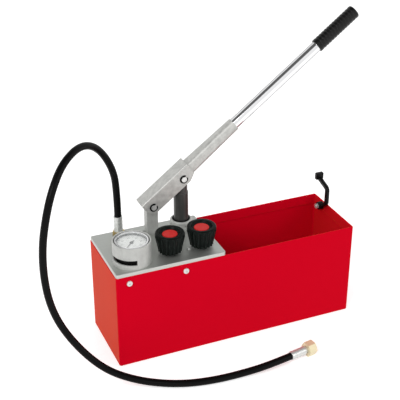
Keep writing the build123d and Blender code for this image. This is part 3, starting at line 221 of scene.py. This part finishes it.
def soft_edges():
    """Rounded look of sharp machined edges, and a mask of where they are."""
    nodes, given, made = start_group(
        "soft_edges", [("Radius", "NodeSocketFloat", 0.0004), ("Gain", "NodeSocketFloat", 6.0)],
        [("Normal", "NodeSocketVector"), ("Edge", "NodeSocketFloat")])
    rounded = nodes.add("ShaderNodeBevel", {"Radius": given["Radius"]}, samples=4).outputs[0]
    flat = nodes.add("ShaderNodeNewGeometry").outputs["Normal"]
    alike = nodes.add("ShaderNodeVectorMath", {0: rounded, 1: flat}, operation="DOT_PRODUCT")
    apart = nodes.math("SUBTRACT", 1.0, alike.outputs["Value"])
    nodes.feed(made["Normal"], rounded)
    nodes.feed(made["Edge"], nodes.math("MULTIPLY", apart, given["Gain"], clamp=True))
    return nodes.tree


def grain():
    """Stretched noise in the object's own coordinates, from coarse cloud to fine grain."""
    nodes, given, made = start_group(
        "grain", [("Grains", "NodeSocketVector", (400.0, 400.0, 400.0)),
                  ("Turn", "NodeSocketVector", (0.0, 0.0, 0.0)),
                  ("Detail", "NodeSocketFloat", 3.0), ("Contrast", "NodeSocketFloat", 2.0)],
        [("Value", "NodeSocketFloat")])
    place = nodes.add("ShaderNodeTexCoord").outputs["Object"]
    turned = nodes.add("ShaderNodeVectorRotate", {"Vector": place, "Rotation": given["Turn"]},
                       rotation_type="EULER_XYZ").outputs[0]
    scaled = nodes.add("ShaderNodeVectorMath", {0: turned, 1: given["Grains"]},
                       operation="MULTIPLY").outputs[0]
    noise = nodes.add("ShaderNodeTexNoise", {"Vector": scaled, "Scale": 1.0,
                                             "Detail": given["Detail"]}).outputs[0]
    centred = nodes.math("SUBTRACT", noise, 0.5)
    spread = nodes.math("MULTIPLY", centred, given["Contrast"])
    nodes.feed(made["Value"], nodes.math("ADD", spread, 0.5, clamp=True))
    return nodes.tree


def pits():
    """Small hollows and pimples of a sand casting."""
    nodes, given, made = start_group(
        "pits", [("Grains", "NodeSocketFloat", 700.0)],
        [("Height", "NodeSocketFloat"), ("Shade", "NodeSocketFloat")])
    place = nodes.add("ShaderNodeTexCoord").outputs["Object"]
    cells = nodes.add("ShaderNodeTexVoronoi", {"Vector": place, "Scale": given["Grains"]},
                      feature="SMOOTH_F1").outputs["Distance"]
    cloud = nodes.add("ShaderNodeTexNoise", {"Vector": place, "Scale": given["Grains"],
                                             "Detail": 4.0, "Roughness": 0.7}).outputs[0]
    nodes.feed(made["Height"], nodes.math("ADD", cells, cloud))
    nodes.feed(made["Shade"], nodes.math("MULTIPLY", cells, cloud, clamp=True))
    return nodes.tree


def worn():
    """Colour of a finish that is rubbed through along its edges; on some finishes the edge colour
    is a painted highlight instead of wear.
    """
    nodes, given, made = start_group(
        "worn", [("Colour", "NodeSocketColor", WHITE), ("Bare_and_glint", "NodeSocketColor", WHITE),
                 ("Edge", "NodeSocketFloat", 0.0), ("Amount", "NodeSocketFloat", 0.3),
                 ("Grains", "NodeSocketFloat", 120.0)],
        [("Colour", "NodeSocketColor"), ("Mask", "NodeSocketFloat")])
    place = nodes.add("ShaderNodeTexCoord").outputs["Object"]
    cloud = nodes.add("ShaderNodeTexNoise", {"Vector": place, "Scale": given["Grains"],
                                             "Detail": 5.0, "Roughness": 0.65}).outputs[0]
    patchy = nodes.math("MULTIPLY", nodes.math("SUBTRACT", cloud, 0.35, clamp=True), 3.0)
    mask = nodes.math("MULTIPLY", nodes.math("MULTIPLY", patchy, given["Edge"]),
                      given["Amount"], clamp=True)
    nodes.feed(made["Colour"], nodes.blend(mask, given["Colour"], given["Bare_and_glint"]))
    nodes.feed(made["Mask"], mask)
    return nodes.tree


def colour(value):
    """A colour property as a shader's colour."""
    return (*value, 1.0)


def shaded(value, factor):
    """A colour made darker or lighter."""
    return (*(min(channel * factor, 1.0) for channel in value), 1.0)


def new_material(name):
    """An empty material with its Principled shader."""
    material = bpy.data.materials.new(name)
    material.use_nodes = True
    shader = material.node_tree.nodes["Principled BSDF"]
    return material, Nodes(material.node_tree), shader


def set_shader(shader, values):
    """Plain values on the shader's own sockets."""
    for name, value in values.items():
        shader.inputs[name].default_value = value


def finish_material(name, base, dark=0.85, bare=None, wear_and_glint=0.3, grains=(150.0, 150.0, 150.0),
                    turn=(0.0, 0.0, 0.0), detail=3.0, contrast=1.6, rough=(0.35, 0.5),
                    relief=0.00002, strength=0.25, radius=0.0004, cast_grains=0.0, **plain):
    """A material with mottled colour, edges of another colour (wear on some finishes, a painted
    highlight on others), uneven gloss and a fine relief.
    """
    material, nodes, shader = new_material(name)
    groups = bpy.data.node_groups
    edges = nodes.group(groups["soft_edges"], {"Radius": radius})
    cloud = nodes.group(groups["grain"], {"Grains": grains, "Turn": turn, "Detail": detail,
                                          "Contrast": contrast})["Value"]
    height = cloud
    if cast_grains:
        pitted = nodes.group(groups["pits"], {"Grains": cast_grains})
        height = pitted["Height"]
        cloud = nodes.math("MULTIPLY", nodes.math("ADD", cloud, pitted["Shade"]), 0.5)
    mottled = nodes.blend(cloud, shaded(base, dark), colour(base))
    # Edge colour: wear on some finishes, a painted highlight on others
    wear_and_glint_colour = nodes.group(groups["worn"], {"Colour": mottled, "Bare_and_glint": colour(bare or base),
                                          "Edge": edges["Edge"], "Amount": wear_and_glint})
    nodes.feed(shader.inputs["Base Color"], wear_and_glint_colour["Colour"])
    nodes.feed(shader.inputs["Roughness"], nodes.between(cloud, *rough))
    bump = nodes.add("ShaderNodeBump", {"Strength": strength, "Distance": relief,
                                        "Height": height, "Normal": edges["Normal"]})
    nodes.feed(shader.inputs["Normal"], bump.outputs[0])
    set_shader(shader, plain)
    return material


def lens_material(name):
    """Clear flat glass."""
    material, nodes, shader = new_material(name)
    smear = nodes.group(bpy.data.node_groups["grain"], {"Grains": (60.0, 60.0, 60.0)})["Value"]
    nodes.feed(shader.inputs["Roughness"], nodes.between(smear, 0.02, 0.08))
    nodes.feed(shader.inputs["Alpha"], nodes.between(smear, 0.14, 0.3))
    set_shader(shader, {"Base Color": (0.95, 0.98, 0.97, 1.0), "IOR": 1.5})
    return material


# Slope of the lever at rest, which its tube's grain follows
LEVER_TURN = (0.0, math.radians(37.5), 0.0)


def make_finishes(colours):
    """Every finish by name."""
    metal = {"Metallic": 1.0}
    return {
        # Tank: the lighter red along its edges is partly wear and partly a painted highlight along
        # the rim
        "tank_red": finish_material(
            "tank_red", colours.tank, dark=0.95, bare=(0.75, 0.08, 0.07), wear_and_glint=0.5,
            grains=(9.0, 9.0, 9.0), contrast=1.2, rough=(0.26, 0.36), relief=0.00002,
            strength=0.08, radius=0.0009, cast_grains=520.0,
            **{"Specular IOR Level": 0.008, "Specular Tint": (1.0, 0.3, 0.1, 1.0),
               "Sheen Weight": 0.7, "Sheen Roughness": 0.35,
               "Sheen Tint": (1.0, 0.3, 0.03, 1.0)}),
        "plate_metal": finish_material(
            "plate_metal", colours.plate, dark=0.8, bare=(0.85, 0.85, 0.83), wear_and_glint=0.6,
            grains=(14.0, 1400.0, 60.0), detail=4.0, contrast=1.5, rough=(0.4, 0.58),
            relief=0.00003, strength=0.3, Metallic=0.85),
        "block_metal": finish_material(
            "block_metal", colours.plate, dark=0.75, grains=(900.0, 16.0, 16.0),
            rough=(0.3, 0.45), **metal),
        "cast_grey": finish_material(
            "cast_grey", colours.casting, dark=0.62, bare=(0.85, 0.85, 0.82), wear_and_glint=0.7,
            grains=(90.0, 90.0, 60.0), detail=5.0, contrast=2.2, rough=(0.36, 0.6),
            relief=0.00014, strength=0.4, radius=0.0008, cast_grains=900.0, Metallic=0.2),
        "lever_grey": finish_material(
            "lever_grey", colours.lever, dark=0.6, bare=(0.86, 0.86, 0.83), wear_and_glint=0.5,
            grains=(110.0, 110.0, 110.0), detail=5.0, contrast=2.6, rough=(0.36, 0.58),
            relief=0.00014, strength=0.4, radius=0.0008, cast_grains=800.0, Metallic=0.5),
        "plunger_steel": finish_material(
            "plunger_steel", colours.plunger, dark=0.8, bare=(0.3, 0.3, 0.3),
            grains=(30.0, 30.0, 2600.0), rough=(0.3, 0.42), Metallic=0.5),
        "zinc_plate": finish_material(
            "zinc_plate", colours.zinc, dark=0.84, bare=(0.92, 0.92, 0.9), wear_and_glint=0.6,
            grains=(260.0, 260.0, 260.0), rough=(0.26, 0.4), Metallic=0.6),
        "pin_steel": finish_material(
            "pin_steel", colours.steel, bare=(0.9, 0.9, 0.88), grains=(300.0, 300.0, 300.0),
            rough=(0.24, 0.36), Metallic=0.6),
        "spring_steel": finish_material(
            "spring_steel", colours.spring, dark=0.6, grains=(500.0, 500.0, 500.0),
            rough=(0.3, 0.45), Metallic=0.6),
        # Blackened steel: the grey along its edges is a painted highlight (glints on the hook),
        # partly wear
        "black_steel": finish_material(
            "black_steel", colours.black, dark=0.7, bare=(0.16, 0.16, 0.15), wear_and_glint=1.0,
            grains=(220.0, 220.0, 220.0), rough=(0.3, 0.44), radius=0.0005,
            **{"Specular IOR Level": 0.12}),
        "chrome_tube": finish_material(
            "chrome_tube", colours.chrome, dark=0.97, grains=(40.0, 40.0, 900.0),
            turn=LEVER_TURN, rough=(0.05, 0.1), relief=0.00001, strength=0.05,
            **{"Metallic": 1.0, "Specular Tint": (0.02, 0.02, 0.02, 1.0)}),
        # Grip: the grey along the rib edges is a painted highlight
        "grip_rubber": finish_material(
            "grip_rubber", colours.rubber, dark=0.8, bare=(0.14, 0.14, 0.14), wear_and_glint=0.8,
            grains=(500.0, 500.0, 500.0), rough=(0.24, 0.36), relief=0.00005, strength=0.3,
            **{"Specular IOR Level": 0.25}),
        "hose_rubber": finish_material(
            "hose_rubber", colours.rubber, dark=0.75, bare=(0.03, 0.03, 0.03),
            grains=(300.0, 300.0, 300.0), rough=(0.26, 0.38), relief=0.00004, strength=0.2,
            radius=0.0002, **{"Specular IOR Level": 0.07}),
        "seal_rubber": finish_material(
            "seal_rubber", colours.rubber, grains=(700.0, 700.0, 700.0), rough=(0.5, 0.7),
            **{"Specular IOR Level": 0.1}),
        "brass_nut": finish_material(
            "brass_nut", colours.union, dark=0.9, bare=(0.97, 0.92, 0.74),
            grains=(200.0, 200.0, 200.0), rough=(0.3, 0.44), radius=0.0005, Metallic=0.25),
        "brass": finish_material(
            "brass", colours.brass, dark=0.3, bare=(0.85, 0.7, 0.4),
            grains=(180.0, 180.0, 700.0), contrast=2.4, rough=(0.25, 0.42), **metal),
        "copper": finish_material(
            "copper", colours.copper, dark=0.75, grains=(90.0, 90.0, 400.0),
            rough=(0.3, 0.45), **metal),
        "strainer_mesh": finish_material(
            "strainer_mesh", (0.22, 0.23, 0.24), grains=(400.0, 400.0, 400.0),
            rough=(0.45, 0.6)),
        # Handwheels: the grey-green along the flute edges is a painted glint
        "knob_plastic": finish_material(
            "knob_plastic", colours.knob, dark=0.8, bare=(0.09, 0.12, 0.105), wear_and_glint=1.2,
            grains=(900.0, 900.0, 900.0), rough=(0.26, 0.38), relief=0.00004, strength=0.25,
            radius=0.001, **{"Specular IOR Level": 0.07}),
        "cap_plastic": finish_material(
            "cap_plastic", colours.cap, dark=0.92, bare=(0.7, 0.1, 0.09),
            grains=(300.0, 300.0, 300.0), rough=(0.3, 0.42), radius=0.0005,
            **{"Specular IOR Level": 0.2, "Specular Tint": (1.0, 0.3, 0.3, 1.0)}),
        "gauge_black": finish_material(
            "gauge_black", colours.black, bare=(0.1, 0.1, 0.1), wear_and_glint=0.5,
            grains=(400.0, 400.0, 400.0), rough=(0.4, 0.55), **{"Specular IOR Level": 0.1}),
        "gauge_steel": finish_material(
            "gauge_steel", colours.chrome, dark=0.9, bare=(0.95, 0.95, 0.95), wear_and_glint=0.5,
            grains=(400.0, 400.0, 400.0), rough=(0.12, 0.2), radius=0.0003, Metallic=0.6),
        "dial_white": finish_material(
            "dial_white", colours.dial, dark=0.98, grains=(120.0, 120.0, 120.0),
            rough=(0.4, 0.5), relief=0.000005, strength=0.05, radius=0.0001),
        "pointer_black": finish_material(
            "pointer_black", colours.marks, bare=(0.1, 0.1, 0.1), grains=(800.0, 800.0, 800.0),
            rough=(0.4, 0.5), radius=0.0001),
        "gasket_fibre": finish_material(
            "gasket_fibre", (0.42, 0.1, 0.07), dark=0.7, grains=(900.0, 900.0, 900.0),
            rough=(0.7, 0.85)),
        "lens_glass": lens_material("lens_glass"),
    }


def dress(obj, material):
    """Give an object one material."""
    obj.data.materials.clear()
    obj.data.materials.append(material)


def dress_slots(finishes):
    """Give every CAD node the finish of its slot in the record."""
    for name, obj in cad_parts.items():
        for place in obj.material_slots:
            base = place.material.name.split(".")[0]
            if base not in finishes:
                raise RuntimeError("no finish for " + base + " of " + name)
            place.material = finishes[base]


def keep_mesh(name, mesh, finish, body):
    """Turn a bmesh into a finished piece that rides on a body."""
    bmesh.ops.recalc_face_normals(mesh, faces=mesh.faces)
    data = bpy.data.meshes.new(name)
    mesh.to_mesh(data)
    mesh.free()
    obj = bpy.data.objects.new(name, data)
    bpy.context.collection.objects.link(obj)
    obj.data.materials.append(finish)
    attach(obj, body)
    return obj


def add_bar(mesh, size, place):
    """Add a box of a given size, moved by a matrix."""
    made = bmesh.ops.create_cube(mesh, size=1.0)
    bmesh.ops.scale(mesh, vec=size, verts=made["verts"])
    bmesh.ops.transform(mesh, matrix=place, verts=made["verts"])
    return made["verts"]


def dial_direction(sizes, share):
    """Angle on the dial of a share of the highest reading."""
    return sizes.dial_zero - share * sizes.dial_sweep


# Scale of the dial: length and width of each kind of mark, in metres
TICK_INSET = 0.0016
TICK_THICKNESS = 0.00008
TICK_SIZES = {
    "long": (0.0038, 0.00045),
    "middle": (0.0028, 0.00028),
    "short": (0.0018, 0.00016),
}
TICKS_PER_STEP = 10
NUMBER_INSET = 0.0102


def dial_ticks(sizes, finishes):
    """Scale marks round the edge of the dial."""
    mesh = bmesh.new()
    steps = sizes.dial_high // sizes.dial_step * TICKS_PER_STEP
    for step in range(steps + 1):
        kind = "long" if step % TICKS_PER_STEP == 0 else "short"
        if step % TICKS_PER_STEP == TICKS_PER_STEP // 2:
            kind = "middle"
        length, width = TICK_SIZES[kind]
        turn = Matrix.Rotation(dial_direction(sizes, step / steps), 4, "Z")
        reach = DIAL_RADIUS - TICK_INSET - length / 2
        lift = Matrix.Translation(DIAL_CENTRE + Vector((0, 0, TICK_THICKNESS / 2)))
        add_bar(mesh, (length, width, TICK_THICKNESS),
                lift @ turn @ Matrix.Translation((reach, 0, 0)))
    return keep_mesh("dial_ticks", mesh, finishes["pointer_black"], "root")


def text_mesh(text, height, depth):
    """A mesh of flat figures, centred on the origin."""
    curve = bpy.data.curves.new("figures", "FONT")
    curve.body = text
    curve.size = height
    curve.extrude = depth / 2
    curve.align_x = "CENTER"
    curve.align_y = "CENTER"
    obj = bpy.data.objects.new("figures", curve)
    bpy.context.collection.objects.link(obj)
    bpy.context.view_layer.update()
    data = bpy.data.meshes.new_from_object(obj)
    bpy.data.objects.remove(obj)
    return data


def dial_numbers(sizes, finishes):
    """Plain numbers of the scale."""
    mesh = bmesh.new()
    reach = DIAL_RADIUS - NUMBER_INSET
    for reading in range(0, sizes.dial_high + 1, sizes.dial_step):
        angle = dial_direction(sizes, reading / sizes.dial_high)
        data = text_mesh(str(reading), sizes.number_height, TICK_THICKNESS)
        place = DIAL_CENTRE + Vector((reach * math.cos(angle), reach * math.sin(angle),
                                      TICK_THICKNESS / 2))
        data.transform(Matrix.Translation(place))
        mesh.from_mesh(data)
        bpy.data.meshes.remove(data)
    bmesh.ops.remove_doubles(mesh, verts=mesh.verts, dist=0.000001)
    return keep_mesh("dial_numbers", mesh, finishes["pointer_black"], "root")


# Zero stop: its reach is a share of the dial's radius
STOP_RADIUS = 0.0006
STOP_TAPER = 0.8
STOP_HEIGHT = 0.002
STOP_REACH = 0.6
STOP_LEAD = math.radians(4)
STOP_SIDES = 24


def stop_pin(sizes, finishes):
    """Small pin on the dial, just before zero."""
    mesh = bmesh.new()
    angle = sizes.dial_zero + STOP_LEAD
    reach = STOP_REACH * DIAL_RADIUS
    place = DIAL_CENTRE + Vector((reach * math.cos(angle), reach * math.sin(angle),
                                  STOP_HEIGHT / 2))
    bmesh.ops.create_cone(mesh, cap_ends=True, segments=STOP_SIDES, radius1=STOP_RADIUS,
                          radius2=STOP_RADIUS * STOP_TAPER, depth=STOP_HEIGHT,
                          matrix=Matrix.Translation(place))
    return keep_mesh("stop_pin", mesh, finishes["zinc_plate"], "root")


# Fineness of the hose's curve, round it and along it
HOSE_ROUND_STEPS = 8
HOSE_LONG_STEPS = 16


def pump_hose(sizes, finishes):
    """The rubber hose as one smooth curve along its route."""
    curve = bpy.data.curves.new("pump_hose", "CURVE")
    curve.dimensions = "3D"
    curve.bevel_depth = sizes.hose_diameter / 2
    curve.bevel_resolution = HOSE_ROUND_STEPS
    curve.resolution_u = HOSE_LONG_STEPS
    curve.use_fill_caps = True
    spline = curve.splines.new("NURBS")
    spline.points.add(len(HOSE_ROUTE) - 1)
    for point, place in zip(spline.points, HOSE_ROUTE):
        point.co = (*place, 1.0)
    spline.order_u = 3
    spline.use_endpoint_u = True
    obj = bpy.data.objects.new("pump_hose", curve)
    bpy.context.collection.objects.link(obj)
    dress(obj, finishes["hose_rubber"])
    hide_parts("hose")
    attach(obj, "root")
    return obj


# Stage, in metres
CAMERA_PLACE = (-0.7259, -1.5834, 1.2058)
SENSOR_WIDTH = 36.0
KEY_PLACE = (-2.6, -2.0, 2.8)
FILL_PLACE = (2.4, -2.6, 1.9)
LAMP_SIZE = 1.5
LAMP_AIM = (0.0, 0.0, 0.12)
NEAR_CLIP = 0.05
FAR_CLIP = 60.0
FLOOR_SIDES = 64
# Height of the direction looked in, and how bright the surround is there
SKY_STOPS = ((0.0, 1.0), (0.30, 0.95), (0.60, 1.0), (0.73, 0.95), (0.765, 0.14), (1.0, 0.1))


def photo_camera(stage):
    """The camera at the photograph's viewing angle."""
    data = bpy.data.cameras.new("photo_camera")
    data.lens = stage.lens
    data.sensor_width = SENSOR_WIDTH
    data.clip_start = NEAR_CLIP
    data.clip_end = FAR_CLIP
    camera = bpy.data.objects.new("photo_camera", data)
    camera.location = CAMERA_PLACE
    camera.rotation_euler = (math.pi / 2 - stage.elevation, 0.0, stage.azimuth)
    bpy.context.collection.objects.link(camera)
    bpy.context.scene.camera = camera


def soft_lamp(name, place, power):
    """A wide lamp aimed at the pump."""
    data = bpy.data.lights.new(name, "AREA")
    data.energy = power
    data.size = LAMP_SIZE
    lamp = bpy.data.objects.new(name, data)
    lamp.location = place
    aim = Vector(LAMP_AIM) - Vector(place)
    lamp.rotation_euler = aim.to_track_quat("-Z", "Y").to_euler()
    bpy.context.collection.objects.link(lamp)


def seen_rays(nodes):
    """1 for rays that show the background: from the camera, off gloss and through glass."""
    path = nodes.add("ShaderNodeLightPath").outputs
    shown = nodes.math("MAXIMUM", path["Is Camera Ray"], path["Is Glossy Ray"])
    return nodes.math("MAXIMUM", shown, path["Is Transmission Ray"])


def white_world(stage):
    """Soft even light, and a white surround that shiny metal sees dark overhead."""
    world = bpy.data.worlds.new("white_world")
    world.use_nodes = True
    nodes = Nodes(world.node_tree)
    background = world.node_tree.nodes["Background"]
    direction = nodes.add("ShaderNodeTexCoord").outputs["Generated"]
    height = nodes.add("ShaderNodeSeparateXYZ", {0: direction}).outputs["Z"]
    ramp = nodes.add("ShaderNodeValToRGB", {"Fac": height})
    points = ramp.color_ramp.elements
    while len(points) < len(SKY_STOPS):
        points.new(0.5)
    for point, (place, level) in zip(points, SKY_STOPS):
        point.position = place
        point.color = (level, level, level, 1.0)
    path = nodes.add("ShaderNodeLightPath").outputs
    shown = nodes.blend(path["Is Glossy Ray"], WHITE, ramp.outputs["Color"])
    nodes.feed(background.inputs["Color"], shown)
    strength = nodes.between(seen_rays(nodes), stage.sky, 1.0)
    nodes.feed(background.inputs["Strength"], strength)
    bpy.context.scene.world = world


def floor_material(stage):
    """Pale floor that turns white where no shadow falls."""
    material, nodes, shader = new_material("floor_white")
    set_shader(shader, {"Base Color": (0.86, 0.86, 0.86, 1.0), "Roughness": 0.9,
                        "Specular IOR Level": 0.0, "Emission Color": WHITE})
    lift = nodes.math("MULTIPLY", seen_rays(nodes), stage.floor_lift)
    nodes.feed(shader.inputs["Emission Strength"], lift)
    return material


def white_floor(stage):
    """The round floor that the pump stands on."""
    mesh = bmesh.new()
    bmesh.ops.create_circle(mesh, cap_ends=True, radius=stage.floor_radius, segments=FLOOR_SIDES)
    data = bpy.data.meshes.new("white_floor")
    mesh.to_mesh(data)
    mesh.free()
    floor = bpy.data.objects.new("white_floor", data)
    bpy.context.collection.objects.link(floor)
    data.materials.append(floor_material(stage))


# Operators, one for each group of pieces
finishes = {}


def settings():
    """The property groups of the scene."""
    scene = bpy.context.scene
    return scene.pump_colours, scene.pump_sizes, scene.pump_stage


class PUMP_OT_finishes(Operator):
    """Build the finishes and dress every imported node"""

    bl_idname = "pump.finishes"
    bl_label = "Finishes"

    def execute(self, context):
        for build in (soft_edges, grain, pits, worn):
            build()
        finishes.update(make_finishes(settings()[0]))
        dress_slots(finishes)
        return {"FINISHED"}


class PUMP_OT_dial(Operator):
    """Add the scale and the zero stop to the gauge's dial"""

    bl_idname = "pump.dial"
    bl_label = "Dial"

    def execute(self, context):
        sizes = settings()[1]
        dial_ticks(sizes, finishes)
        dial_numbers(sizes, finishes)
        stop_pin(sizes, finishes)
        return {"FINISHED"}


class PUMP_OT_hose(Operator):
    """Lay the hose along its route"""

    bl_idname = "pump.hose"
    bl_label = "Hose"

    def execute(self, context):
        pump_hose(settings()[1], finishes)
        return {"FINISHED"}


class PUMP_OT_stage(Operator):
    """Set up the camera, the lamps, the surround and the floor"""

    bl_idname = "pump.stage"
    bl_label = "Stage"

    def execute(self, context):
        stage = settings()[2]
        photo_camera(stage)
        soft_lamp("key_lamp", KEY_PLACE, stage.key)
        soft_lamp("fill_lamp", FILL_PLACE, stage.fill)
        white_world(stage)
        white_floor(stage)
        context.scene.view_settings.view_transform = "Standard"
        return {"FINISHED"}


OPERATORS = (PUMP_OT_finishes, PUMP_OT_dial, PUMP_OT_hose, PUMP_OT_stage)


class PUMP_PT_panel(Panel):
    """Buttons of the test pump in the sidebar"""

    bl_idname = "PUMP_PT_panel"
    bl_label = "Test pump"
    bl_space_type = "VIEW_3D"
    bl_region_type = "UI"
    bl_category = "Test pump"

    def draw(self, context):
        for operator in OPERATORS:
            self.layout.operator(operator.bl_idname)


CLASSES = (PumpColours, PumpSizes, PumpStage, *OPERATORS, PUMP_PT_panel)


def register():
    """Register the classes and their settings on the scene."""
    for item in CLASSES:
        bpy.utils.register_class(item)
    bpy.types.Scene.pump_colours = PointerProperty(type=PumpColours)
    bpy.types.Scene.pump_sizes = PointerProperty(type=PumpSizes)
    bpy.types.Scene.pump_stage = PointerProperty(type=PumpStage)


def unregister():
    """Take the settings and the classes away again."""
    for name in ("pump_stage", "pump_sizes", "pump_colours"):
        delattr(bpy.types.Scene, name)
    for item in reversed(CLASSES):
        bpy.utils.unregister_class(item)


def main():
    """Build everything in order."""
    register()
    for operator in OPERATORS:
        prefix, name = operator.bl_idname.split(".")
        getattr(getattr(bpy.ops, prefix), name)()


if __name__ == "__main__":
    main()
